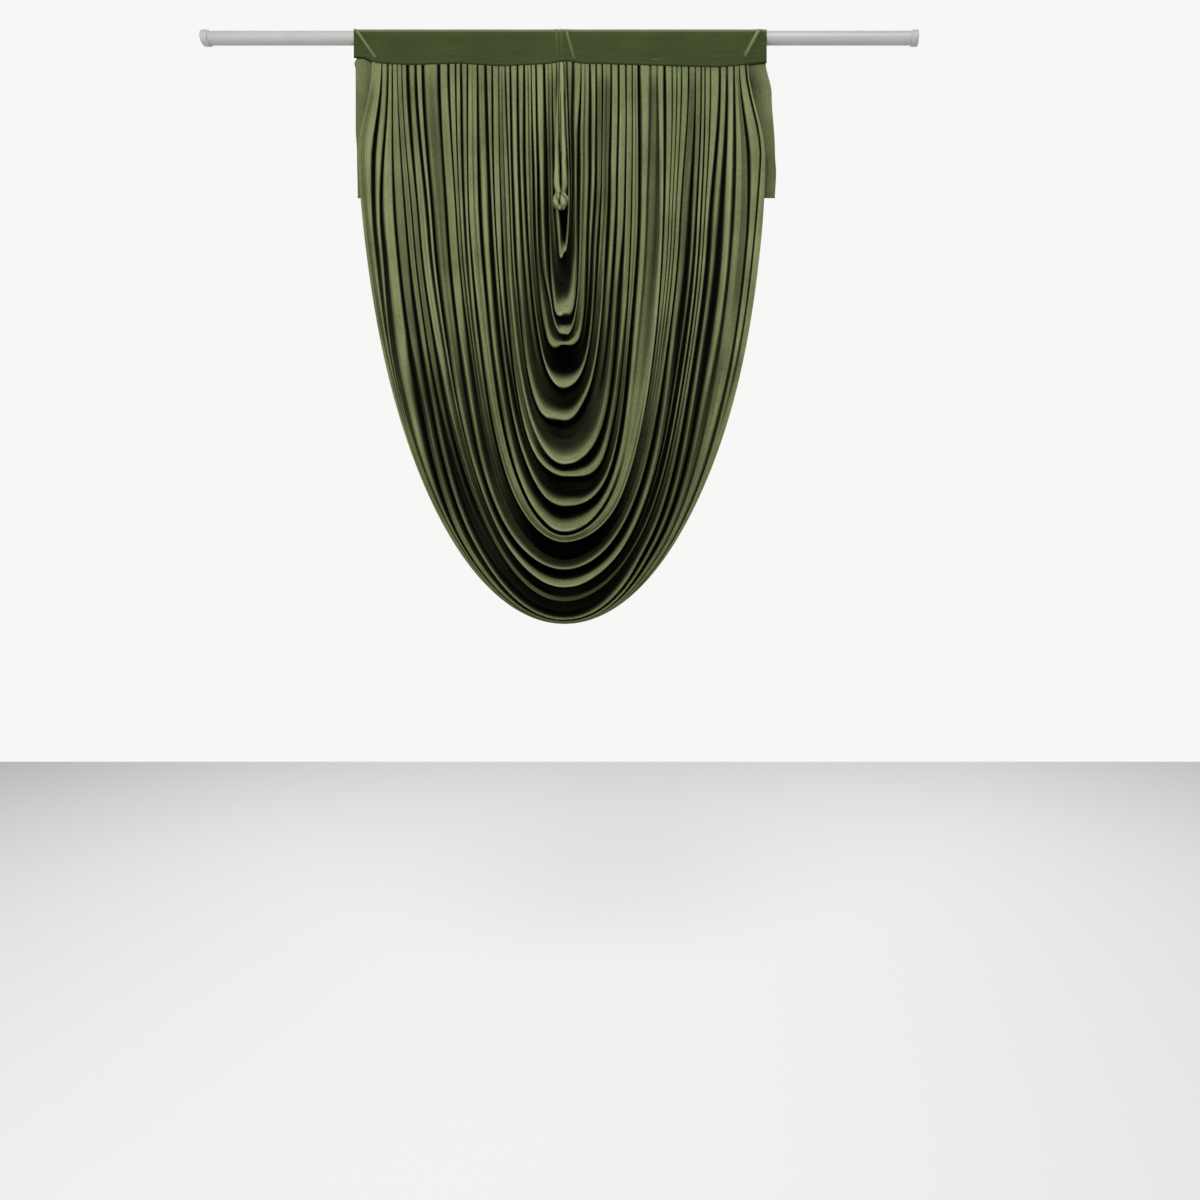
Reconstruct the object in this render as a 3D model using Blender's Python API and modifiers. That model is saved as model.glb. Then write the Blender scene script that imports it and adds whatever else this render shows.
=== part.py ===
"""Swag and tail drape of stretch knit, gathered under a flat rod-pocket heading and hanging on its rod.

Metres, +Z up. The origin is on the rod's axis, in line with the middle of the heading. The front faces -Y.
"""

import math

import bmesh
import bpy
from mathutils import Vector

# The outside diameter of common 1 inch pipe, 33.4 mm.
ROD_RADIUS = 0.0167
ROD_LENGTH = 1.75
CAP_RADIUS = 0.0195
CAP_LENGTH = 0.018
CAP_RIM = 0.003
PIECE_GAP = 0.0003

# Heights and widths in the tables are as they look from this point against the rod's plane. Cloth in front of the
# rod is a little smaller than its row says, and cloth behind it a little larger.
EYE_X, EYE_Y, EYE_Z = 0.415, -2.2825, -1.238

CLOTH_THICKNESS = 0.0015
# The swag's thickness from front to back, on a crest. Its steep walls come out at about 1 mm.
CREST_THICKNESS = 0.003
# The pocket's flats are 2 mm clear of the rod at their middles.
ROD_CLEARANCE = 0.0028
SEAM_GAP = 0.001
HEADING_LEFT = -0.5165
HEADING_RIGHT = 0.5155
HEADING_SPANS = 20
HEADING_SIDES = 12

# Height of the heading's lower seam, along its length: (x, z).
SEAM = (
    (-0.52, -0.049),
    (-0.49, -0.052),
    (-0.46, -0.065),
    (-0.38, -0.070),
    (-0.25, -0.066),
    (-0.15, -0.073),
    (-0.03, -0.067),
    (0.015, -0.060),
    (0.05, -0.066),
    (0.20, -0.070),
    (0.39, -0.076),
    (0.45, -0.071),
    (0.52, -0.062),
)

# Each fold of the swag follows a U. Its lane is the distance from the middle, in mm, at which a plain U leaves
# the heading, and the plain U of that lane hangs this far below the seam, in mm: (lane, drop).
DROPS = (
    (0, 340),
    (15, 475),
    (46, 685),
    (88, 810),
    (118, 893),
    (155, 1015),
    (183, 1108),
    (214, 1178),
    (258, 1230),
    (288, 1263),
    (319, 1308),
    (361, 1348),
    (402, 1383),
    (464, 1395),
    (515, 1400),
)
# A U of this lane, in metres, has sides this square: (lane, squareness). 2 is an ellipse.
SQUARENESS = ((0.0, 3.4), (0.1, 3.0), (0.515, 2.15))

# Where along a U the nine lanes and the five depths apply: 0 and 1 are its ends at the heading, and 0.5 is its
# lowest point.
STATIONS = (0.0, 0.1, 0.2, 0.35, 0.5, 0.65, 0.8, 0.9, 1.0)
DEPTH_STATIONS = (0.05, 0.28, 0.5, 0.72, 0.95)
# One row for each fold, from the rolled inner edge out to the hem: (lanes, depths, lip).
# lanes: that of the groove at the fold's outer side, in mm, from the left gathers round to the right ones.
# depths: how deep that groove is, as a share. It is 0 where the fold has run out into its neighbour.
# lip: how far the fold comes forward at the bottom, as a share. At 0 it hides in the pocket above the next lip.
FOLDS = (
    ((10, 10, 10, 8, 10, 8, 9, 8, 7), (0.7, 0.7, 1.0, 0.7, 0.7), 0.0),
    ((21, 24, 26, 24, 15, 17, 18, 16, 15), (1.0, 1.0, 0.8, 1.0, 1.0), 1.0),
    ((31, 33, 35, 33, 26, 27, 26, 24, 31), (0.2, 0.2, 0.3, 0.9, 0.9), 0.5),
    ((40, 40, 42, 46, 38, 46, 40, 42, 52), (1.0, 1.0, 0.7, 1.0, 1.0), 1.0),
    ((62, 63, 67, 54, 45, 52, 52, 55, 61), (1.0, 1.0, 0.7, 0.2, 0.2), 1.0),
    ((74, 75, 79, 78, 52, 72, 66, 70, 73), (1.0, 1.0, 1.0, 1.0, 1.0), 1.0),
    ((81, 83, 87, 88, 70, 89, 80, 86, 89), (0.2, 0.2, 0.0, 1.0, 1.0), 0.0),
    ((90, 96, 96, 96, 89, 98, 94, 100, 105), (1.0, 1.0, 1.0, 1.0, 1.0), 1.0),
    ((107, 109, 111, 115, 101, 109, 105, 110, 115), (1.0, 0.8, 0.0, 0.2, 0.2), 0.1),
    ((126, 128, 131, 136, 118, 121, 116, 119, 126), (1.0, 1.0, 1.0, 1.0, 1.0), 1.0),
    ((139, 135, 138, 143, 134, 141, 136, 139, 145), (0.7, 0.3, 0.0, 1.0, 1.0), 0.2),
    ((147, 147, 151, 154, 151, 164, 155, 160, 164), (0.2, 0.2, 0.9, 1.0, 1.0), 1.0),
    ((154, 157, 159, 168, 160, 184, 178, 177, 180), (1.0, 1.0, 1.0, 1.0, 1.0), 1.0),
    ((171, 174, 173, 174, 171, 194, 184, 187, 187), (1.0, 1.0, 0.0, 0.1, 0.1), 0.1),
    ((187, 183, 183, 186, 183, 205, 190, 195, 193), (1.0, 1.0, 1.0, 1.0, 1.0), 1.0),
    ((208, 211, 208, 211, 211, 228, 213, 217, 226), (1.0, 1.0, 1.0, 0.15, 0.6), 1.0),
    ((221, 224, 222, 226, 219, 246, 238, 243, 241), (0.1, 0.1, 0.2, 0.1, 0.5), 0.9),
    ((232, 239, 236, 243, 229, 262, 260, 260, 260), (1.0, 1.0, 1.0, 1.0, 1.0), 1.0),
    ((249, 250, 251, 256, 248, 270, 268, 273, 280), (1.0, 0.2, 0.0, 0.1, 0.6), 0.0),
    ((262, 262, 259, 268, 262, 279, 275, 281, 291), (1.0, 0.2, 0.0, 0.1, 0.5), 0.0),
    ((280, 270, 266, 282, 276, 288, 283, 289, 302), (1.0, 0.9, 0.0, 0.1, 0.6), 0.2),
    ((303, 295, 294, 303, 289, 301, 294, 301, 321), (1.0, 1.0, 1.0, 1.0, 1.0), 1.0),
    ((346, 332, 325, 324, 320, 332, 320, 327, 337), (1.0, 1.0, 1.0, 1.0, 1.0), 1.0),
    ((362, 342, 333, 333, 334, 351, 337, 343, 352), (1.0, 0.4, 0.3, 1.0, 1.0), 0.1),
    ((383, 368, 358, 352, 357, 362, 351, 355, 361), (1.0, 1.0, 0.6, 1.0, 1.0), 0.55),
    ((397, 383, 380, 389, 384, 377, 360, 364, 375), (1.0, 1.0, 1.0, 0.8, 1.0), 0.1),
    ((408, 400, 399, 418, 436, 393, 371, 377, 399), (1.0, 1.0, 0.4, 1.0, 1.0), 1.0),
    ((421, 428, 431, 471, 476, 426, 400, 406, 416), (1.0, 1.0, 0.4, 1.0, 1.0), 0.9),
    ((452, 474, 483, 494, 492, 466, 438, 438, 436), (1.0, 0.15, 0.2, 0.6, 0.8), 0.9),
    ((496, 500, 505, 507, 503, 497, 484, 480, 492), (0.0, 0.1, 0.2, 0.5, 1.0), 0.9),
    ((514, 516, 518, 517, 513, 516, 521, 519, 512), (0.0, 0.0, 0.0, 0.0, 0.0), 0.85),
)
INNER_EDGE = (1.7, 1.7, 1.7, 1.2, 0.0, 1.2, 1.7, 1.7, 1.7)

STEPS_ALONG = 30
# A U falls fast from the heading and turns slowly at the bottom. 2 would space the steps as on a circle.
FALL = 1.7
U_TOP = -0.065
CENTRE_SHIFT = 0.010
EDGE_LANE = DROPS[-1][0] / 1000.0
# How far in front of the rod's axis the crests are, and how deep the grooves are, at the seam, down the sides
# and at the bottom.
CREST_AT_SEAM = 0.006
CREST_AT_SIDE = 0.022
CREST_AT_LIP = 0.062
DEPTH_AT_SEAM = 0.35
DEPTH_AT_SIDE = 0.030
DEPTH_AT_BOTTOM = 0.080
# A groove is never deeper than this many times its fold's width, so that its walls stay apart.
MOST_DEPTH_AT_SIDE = 1.9
MOST_DEPTH_AT_BOTTOM = 1.6
GATHER_LENGTH = 0.080
POCKET_FROM = 0.45
# A crest lies at this share of the way across its fold.
CREST_PLACE_AT_SIDE = 0.5
CREST_PLACE_AT_LIP = 0.82
NARROW_FOLD = 0.010
# Under the heading the outer folds are drawn in by this much, and they swing out within this length.
FLARE = 0.043
FLARE_FROM = 0.425
FLARE_LENGTH = 0.24

# Outer edge of each tail, from its bottom up: (height, x).
TAIL_LEFT_EDGE = ((-0.400, -0.507), (-0.28, -0.509), (-0.23, -0.512), (-0.05, -0.512))
TAIL_RIGHT_EDGE = ((-0.400, 0.536), (-0.34, 0.539), (-0.28, 0.536), (-0.14, 0.528), (-0.06, 0.513))
TAIL_WIDTH = 0.105
TAIL_BOTTOM = -0.400
TAIL_SETBACK = 0.036
TAIL_TOP_SETBACK = 0.012
TAIL_RIPPLE = 0.004
TAIL_RIPPLES = 1.5
# The share of its width over which a tail turns back from the heading's end.
TAIL_TURN = 0.33
TAIL_ACROSS = 5
TAIL_DOWN = 7

OLIVE = (0.135, 0.170, 0.075, 1.0)
DARK_OLIVE = (0.075, 0.100, 0.038, 1.0)
WHITE = (0.80, 0.80, 0.79, 1.0)


def smooth(value):
    """0 below 0, 1 above 1, and an S curve between them."""
    value = min(max(value, 0.0), 1.0)
    return value * value * (3.0 - 2.0 * value)


def between(table, place, eased=False):
    """The value at this place, read from rows of (place, value)."""
    if place <= table[0][0]:
        return table[0][1]
    for (start, first), (end, second) in zip(table, table[1:]):
        if place <= end:
            share = (place - start) / (end - start)
            return first + (second - first) * (smooth(share) if eased else share)
    return table[-1][1]


def true_place(x, y, z):
    """The point that looks to be at x and z from the eye, when it lies at y."""
    size = 1.0 - y / EYE_Y
    return (EYE_X + (x - EYE_X) * size, y, EYE_Z + (z - EYE_Z) * size)


def new_collection(name):
    made = bpy.data.collections.new(name)
    bpy.context.scene.collection.children.link(made)
    return made


def new_material(name, colour, roughness, metallic=0.0):
    made = bpy.data.materials.new(name)
    made.use_nodes = True
    shader = made.node_tree.nodes["Principled BSDF"]
    shader.inputs["Base Color"].default_value = colour
    shader.inputs["Roughness"].default_value = roughness
    shader.inputs["Metallic"].default_value = metallic
    return made


def new_object(name, bm, material, collection):
    """An object that holds this bmesh, in its collection, with its material."""
    mesh = bpy.data.meshes.new(name)
    bm.to_mesh(mesh)
    bm.free()
    mesh.shade_smooth()
    mesh.materials.append(material)
    made = bpy.data.objects.new(name, mesh)
    collection.objects.link(made)
    return made


def thicken(sheet, thickness, offset):
    """Gives a sheet its thickness: offset 0 on both sides of it, -1 inwards."""
    solidify = sheet.modifiers.new("cloth", "SOLIDIFY")
    solidify.thickness = thickness
    solidify.offset = offset


def shaped_grid(columns, rows, place):
    """A grid whose corner at column i and row j is moved to place(i, j)."""
    bm = bmesh.new()
    bmesh.ops.create_grid(bm, x_segments=columns, y_segments=rows, size=0.5)
    for vertex in bm.verts:
        i = round((vertex.co.x + 0.5) * columns)
        j = round((vertex.co.y + 0.5) * rows)
        vertex.co = place(i, j)
    bmesh.ops.recalc_face_normals(bm, faces=bm.faces)
    return bm


def build_rod(material, collection):
    """A plain round rod along X."""
    bm = bmesh.new()
    bmesh.ops.create_cone(
        bm, cap_ends=True, segments=32, radius1=ROD_RADIUS, radius2=ROD_RADIUS, depth=ROD_LENGTH
    )
    rod = new_object("rod", bm, material, collection)
    rod.rotation_euler = (0.0, math.pi / 2, 0.0)
    return rod


def build_cap(name, side, material, collection):
    """A round cap on one end of the rod, with a softened rim."""
    bm = bmesh.new()
    bmesh.ops.create_cone(
        bm, cap_ends=True, segments=32, radius1=CAP_RADIUS, radius2=CAP_RADIUS, depth=CAP_LENGTH
    )
    cap = new_object(name, bm, material, collection)
    cap.rotation_euler = (0.0, math.pi / 2, 0.0)
    cap.location = (side * (ROD_LENGTH / 2 + CAP_LENGTH / 2 + PIECE_GAP), 0.0, 0.0)
    bevel = cap.modifiers.new("rim", "BEVEL")
    bevel.width = CAP_RIM
    bevel.segments = 2
    return cap


def pocket_radius(turn, drop):
    """Distance from the axis to the pocket at this turn from straight down: a drop shape closed by the seam."""
    round_part = ROD_RADIUS + ROD_CLEARANCE + CLOTH_THICKNESS
    tangent = math.acos(round_part / drop)
    return round_part / math.cos(tangent - turn) if turn < tangent else round_part


def heading_x(i):
    """Where column i of the heading looks to be."""
    return HEADING_LEFT + (HEADING_RIGHT - HEADING_LEFT) * i / HEADING_SPANS


def seam_height(x):
    """The height of the heading's lower edge, which runs straight from column to column of its mesh."""
    columns = [heading_x(i) for i in range(HEADING_SPANS + 1)]
    return between([(column, between(SEAM, column)) for column in columns], x)


def build_heading(material, collection):
    """A flat band sewn into a sleeve: it goes up the front, over the rod and down the back to one seam."""

    def place(i, j):
        turn = 2.0 * math.pi * j / HEADING_SIDES
        x = heading_x(i)
        drop = -between(SEAM, x)
        reach = pocket_radius(min(turn, 2.0 * math.pi - turn), drop)
        y, z = -reach * math.sin(turn), -reach * math.cos(turn)
        return (true_place(x, y, z)[0], y, z)

    bm = shaped_grid(HEADING_SPANS, HEADING_SIDES, place)
    bmesh.ops.remove_doubles(bm, verts=bm.verts, dist=1e-5)
    bmesh.ops.recalc_face_normals(bm, faces=bm.faces)
    heading = new_object("heading", bm, material, collection)
    thicken(heading, CLOTH_THICKNESS, -1.0)
    return heading


def at_stations(stations, values, along):
    """The value at this place along a U, from one value for each station."""
    return between(tuple(zip(stations, values)), along, eased=True)


def lane_at(lanes, along):
    """The lane of one groove at this place along its U, in metres."""
    return at_stations(STATIONS, lanes, along) / 1000.0


def u_point(lane, along):
    """(x, z, share of the drop) on the U of this lane."""
    down = 1.0 - abs(2.0 * along - 1.0) ** FALL
    drop = between(DROPS, lane * 1000.0) / 1000.0
    reach = lane * math.sqrt(max(1.0 - down ** between(SQUARENESS, lane), 0.0))
    x = CENTRE_SHIFT * math.sin(down * math.pi / 2) + math.copysign(reach, along - 0.5)
    return x, U_TOP - drop * down, down


def fold_width(edges, groove, along):
    """The distance between the grooves on both sides of a groove, halved, at this place along their Us."""
    inner = u_point(lane_at(edges[max(groove - 1, 0)], along), along)
    outer = u_point(lane_at(edges[min(groove + 1, len(edges) - 1)], along), along)
    return math.dist(inner[:2], outer[:2]) / 2.0


def build_swag(material, collection):
    """One gathered sheet: every second line of its grid is a groove, and the lines between them are crests."""
    edges = [INNER_EDGE] + [lanes for lanes, depths, lip in FOLDS]
    shares = [(0.0,) * len(DEPTH_STATIONS)] + [depths for lanes, depths, lip in FOLDS]
    hidden = [1.0 - lip for lanes, depths, lip in FOLDS]
    hidden.append(hidden[-1])

    def place(i, j):
        along = j / STEPS_ALONG
        fold = i // 2
        lane = lane_at(edges[fold], along)
        _, _, down = u_point(lane, along)
        pocket = smooth((down - POCKET_FROM) / (1.0 - POCKET_FROM))
        if i % 2:
            width = lane_at(edges[fold + 1], along) - lane
            lip = pocket * smooth((width - NARROW_FOLD) / NARROW_FOLD)
            lane += width * (CREST_PLACE_AT_SIDE + (CREST_PLACE_AT_LIP - CREST_PLACE_AT_SIDE) * lip)
        x, z, down = u_point(lane, along)
        under_seam = U_TOP - z
        gather = smooth(under_seam / GATHER_LENGTH)
        flare = FLARE * smooth((lane - FLARE_FROM) / (EDGE_LANE - FLARE_FROM))
        x -= math.copysign(flare * (1.0 - smooth(under_seam / FLARE_LENGTH)), x)
        # The top edge follows the heading's seam, and the difference is taken up along the gathers.
        z += (seam_height(x) - SEAM_GAP - U_TOP) * (1.0 - gather)
        crest = CREST_AT_SEAM + (CREST_AT_SIDE - CREST_AT_SEAM) * gather
        crest += (CREST_AT_LIP - crest) * pocket
        back = hidden[fold] * DEPTH_AT_BOTTOM * pocket
        if i % 2 == 0:
            share = at_stations(DEPTH_STATIONS, shares[fold], along)
            side = DEPTH_AT_SIDE * share * (DEPTH_AT_SEAM + (1.0 - DEPTH_AT_SEAM) * gather)
            low = DEPTH_AT_BOTTOM * max(share, hidden[fold], hidden[max(fold - 1, 0)])
            most = MOST_DEPTH_AT_SIDE + (MOST_DEPTH_AT_BOTTOM - MOST_DEPTH_AT_SIDE) * pocket
            back = min(side + (low - side) * pocket, most * fold_width(edges, fold, along))
        return true_place(x, back - crest, z)

    bm = shaped_grid(2 * len(FOLDS), STEPS_ALONG, place)
    # The back is the front moved away from the eye. An offset along the normals would meet itself in the folds.
    back = bmesh.ops.extrude_face_region(bm, geom=bm.faces[:], use_keep_orig=True)
    for item in back["geom"]:
        if isinstance(item, bmesh.types.BMVert):
            away = item.co - Vector((EYE_X, EYE_Y, EYE_Z))
            item.co += away * (CREST_THICKNESS / away.y)
    bmesh.ops.recalc_face_normals(bm, faces=bm.faces)
    # Among folds this close, the outward side is only certain from the sign of the volume.
    if bm.calc_volume(signed=True) < 0.0:
        bmesh.ops.reverse_faces(bm, faces=bm.faces)
    return new_object("swag", bm, material, collection)


def build_tail(name, side, outer_edge, material, collection):
    """A short flat tail under one end of the heading, behind the swag's outer folds, cut square."""

    def place(i, j):
        share = i / TAIL_ACROSS
        top = seam_height(side * (HEADING_RIGHT - TAIL_WIDTH * share)) - SEAM_GAP
        z = top + (TAIL_BOTTOM - top) * j / TAIL_DOWN
        x = between(outer_edge, z) - side * TAIL_WIDTH * share
        hang = smooth((top - z) / GATHER_LENGTH)
        setback = TAIL_TOP_SETBACK * smooth(share / TAIL_TURN)
        setback += (TAIL_SETBACK - setback) * hang
        setback += TAIL_RIPPLE * math.sin(share * TAIL_RIPPLES * 2.0 * math.pi) * hang
        return true_place(x, setback, z)

    bm = shaped_grid(TAIL_ACROSS, TAIL_DOWN, place)
    tail = new_object(name, bm, material, collection)
    thicken(tail, CLOTH_THICKNESS, 0.0)
    return tail


for old in list(bpy.data.objects):
    bpy.data.objects.remove(old, do_unlink=True)

drape = new_collection("swag_and_tail_drape")
cloth = new_material("stretch_knit", OLIVE, 0.75)
band = new_material("stretch_knit_heading", DARK_OLIVE, 0.75)
paint = new_material("white_painted_metal", WHITE, 0.35)

build_rod(paint, drape)
build_cap("rod_cap_left", -1.0, paint, drape)
build_cap("rod_cap_right", 1.0, paint, drape)
build_heading(band, drape)
build_swag(cloth, drape)
build_tail("tail_left", -1.0, TAIL_LEFT_EDGE, cloth, drape)
build_tail("tail_right", 1.0, TAIL_RIGHT_EDGE, cloth, drape)
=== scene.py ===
import math

import bmesh
import bpy
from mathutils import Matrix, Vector, noise


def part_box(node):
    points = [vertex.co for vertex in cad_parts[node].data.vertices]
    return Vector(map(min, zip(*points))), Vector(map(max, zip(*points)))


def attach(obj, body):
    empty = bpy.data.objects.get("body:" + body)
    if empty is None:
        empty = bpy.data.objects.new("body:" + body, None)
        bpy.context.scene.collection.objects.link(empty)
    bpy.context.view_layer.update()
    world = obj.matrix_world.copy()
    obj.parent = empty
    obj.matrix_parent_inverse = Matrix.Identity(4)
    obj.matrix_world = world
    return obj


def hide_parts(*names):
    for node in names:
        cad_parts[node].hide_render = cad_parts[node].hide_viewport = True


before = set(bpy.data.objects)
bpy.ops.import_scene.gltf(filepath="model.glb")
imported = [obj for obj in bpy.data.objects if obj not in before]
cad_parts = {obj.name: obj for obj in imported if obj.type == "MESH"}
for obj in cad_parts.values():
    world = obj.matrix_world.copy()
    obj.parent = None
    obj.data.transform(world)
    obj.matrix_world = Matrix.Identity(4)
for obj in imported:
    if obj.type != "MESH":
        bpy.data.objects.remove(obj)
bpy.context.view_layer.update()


# The rod is a thin-walled metal tube with a plastic cap pushed on each end. It is powder coated white, and
# the heading slides over it.
def srgb(hex_colour):
    """The linear colour of an sRGB hex value."""
    shares = [int(hex_colour[i : i + 2], 16) / 255.0 for i in (1, 3, 5)]
    linear = [s / 12.92 if s <= 0.04045 else ((s + 0.055) / 1.055) ** 2.4 for s in shares]
    return (*linear, 1.0)


def add_node(material, kind, inputs=(), **settings):
    """Adds a node with these settings. Each input is a value, or the socket that feeds it."""
    node = material.node_tree.nodes.new(kind)
    for name, value in settings.items():
        setattr(node, name, value)
    for name, value in dict(inputs).items():
        if isinstance(value, bpy.types.NodeSocket):
            material.node_tree.links.new(value, node.inputs[name])
        else:
            node.inputs[name].default_value = value
    return node


def new_material(name, roughness, **sockets):
    """A material with a Principled shader whose constant sockets are set directly."""
    made = bpy.data.materials.new(name)
    made.use_nodes = True
    shader = made.node_tree.nodes["Principled BSDF"]
    shader.inputs["Roughness"].default_value = roughness
    for socket, value in sockets.items():
        shader.inputs[socket.replace("_", " ")].default_value = value
    return made, shader


# Powder coat on metal: a white skin with a fine orange peel and a satin gloss, slightly grey where hands have
# been.
ORANGE_PEEL = 0.0012
paint, paint_shader = new_material("white_powder_coat_on_metal_tube", 0.38, IOR=1.5)
place_in_paint = add_node(paint, "ShaderNodeTexCoord")
handling = add_node(
    paint,
    "ShaderNodeTexNoise",
    {"Vector": place_in_paint.outputs["Object"], "Scale": 1 / 0.09, "Detail": 4.0},
)
paint_tone = add_node(
    paint,
    "ShaderNodeMix",
    {"Factor": handling.outputs["Fac"], "A": srgb("#C2C2C0"), "B": srgb("#AEAEAC")},
    data_type="RGBA",
)
paint.node_tree.links.new(paint_tone.outputs["Result"], paint_shader.inputs["Base Color"])
peel = add_node(
    paint,
    "ShaderNodeTexNoise",
    {"Vector": place_in_paint.outputs["Object"], "Scale": 1 / ORANGE_PEEL, "Detail": 2.0},
)
peel_bump = add_node(
    paint, "ShaderNodeBump", {"Height": peel.outputs["Fac"], "Strength": 0.15, "Distance": 0.0001}
)
paint.node_tree.links.new(peel_bump.outputs["Normal"], paint_shader.inputs["Normal"])

for tube_node in ("rod", "rod_cap_left", "rod_cap_right"):
    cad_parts[tube_node].data.materials.clear()
    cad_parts[tube_node].data.materials.append(paint)


# The heading is a band of the same stretch knit, sewn into a sleeve that the rod fills. It is pulled tight,
# so it lies almost flat, with a seam up its middle and a stitched seam along its foot that holds the gathers.
ROD_LOW, ROD_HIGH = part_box("rod")
ROD_RADIUS = (ROD_HIGH.z - ROD_LOW.z) / 2
EYE = (0.415, -2.2825, -1.238)
HEADING_LEFT, HEADING_RIGHT = -0.5165, 0.5155
HEADING_COLUMNS = 344
HEADING_ROUND = 96
# The sleeve's inner side is this far off the rod.
HEADING_TIGHT = 0.0008
KNIT_THICKNESS = 0.0014
# The size on the flat cloth of one step round the band, and of one step along it.
FLAT_STEP_ROUND, FLAT_STEP_ALONG = 0.0022, 0.003
# Height of the seam under the band, in metres: (x, z).
SEAM = (
    (-0.52, -0.049),
    (-0.49, -0.052),
    (-0.46, -0.065),
    (-0.38, -0.070),
    (-0.25, -0.066),
    (-0.15, -0.073),
    (-0.03, -0.067),
    (0.015, -0.060),
    (0.05, -0.066),
    (0.20, -0.070),
    (0.39, -0.076),
    (0.45, -0.071),
    (0.52, -0.062),
)
# Height and half width of the painted highlight line along the band's front, where it turns over the rod.
TOP_HIGHLIGHT = (0.0092, 0.0022)
# Raised creases in the band, each from its top end to its bottom end: (x, z, x, z, height, width).
CREASES = (
    (-0.513, 0.010, -0.464, -0.050, 0.0085, 0.0040),
    (0.013, 0.010, 0.034, -0.052, 0.0062, 0.0040),
    (0.497, 0.008, 0.462, -0.046, 0.0085, 0.0060),
    (-0.010, 0.016, -0.008, -0.058, 0.0024, 0.0022),
    (0.003, 0.016, 0.004, -0.058, 0.0028, 0.0022),
    (0.229, -0.056, 0.252, -0.057, 0.0020, 0.0024),
)
HIGHEST_CREASE = 0.0085
# The band's small waves, and the ridge that the stitching pushes up: how high, how far above the seam, and
# its half width.
WAVE_HEIGHT = 0.0006
STITCH_RIDGE, STITCH_ABOVE, STITCH_WIDTH = 0.0012, 0.005, 0.003
# How many rows at the foot lie in shadow.
FOOT_ROWS = 3.6


def smooth(value):
    """0 below 0, 1 above 1, and an S curve between them."""
    value = min(max(value, 0.0), 1.0)
    return value * value * (3.0 - 2.0 * value)


def between(table, place, eased=False):
    """The value at this place, read from rows of (place, value)."""
    if place <= table[0][0]:
        return table[0][1]
    for (start, first), (end, second) in zip(table, table[1:]):
        if place <= end:
            share = (place - start) / (end - start)
            return first + (second - first) * (smooth(share) if eased else share)
    return table[-1][1]


def true_place(x, y, z):
    """x and z are as seen against the rod's plane from 2.28 m in front of it, so nearer cloth is drawn in."""
    nearer = 1.0 - y / EYE[1]
    return (EYE[0] + (x - EYE[0]) * nearer, y, EYE[2] + (z - EYE[2]) * nearer)


def distance_to_line(x, z, crease):
    """How far (x, z) is from a crease, and how far along it, as a share."""
    start = Vector(crease[0:2])
    along = Vector(crease[2:4]) - start
    share = min(max((Vector((x, z)) - start).dot(along) / along.length_squared, 0.0), 1.0)
    return (start + along * share - Vector((x, z))).length, share


def cloth_grid(columns, rows, place, flat_place, depth):
    """A sheet whose corner at column i and row j is moved to place(i, j).

    flat_place(i, j) is that corner's place on the flat cloth in metres, and depth(i, j) the painted shade
    there, given below 0 where a painted highlight goes instead.
    """
    bm = bmesh.new()
    flat_layer = bm.loops.layers.uv.new("cloth")
    painted_light_layer = bm.verts.layers.float.new("painted_shade_and_highlight")
    bmesh.ops.create_grid(bm, x_segments=columns, y_segments=rows, size=0.5)
    corners = {}
    for vertex in bm.verts:
        corner = (round((vertex.co.x + 0.5) * columns), round((vertex.co.y + 0.5) * rows))
        vertex.co = place(*corner)
        vertex[painted_light_layer] = depth(*corner)
        corners[vertex] = corner
    for face in bm.faces:
        for loop in face.loops:
            loop[flat_layer].uv = flat_place(*corners[loop.vert])
    return bm


def finished(name, bm, material):
    """An object at the origin that holds this bmesh, riding on the one body."""
    mesh = bpy.data.meshes.new(name)
    bm.to_mesh(mesh)
    bm.free()
    mesh.shade_smooth()
    mesh.materials.append(material)
    made = bpy.data.objects.new(name, mesh)
    bpy.context.scene.collection.objects.link(made)
    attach(made, "root")
    return made


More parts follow.
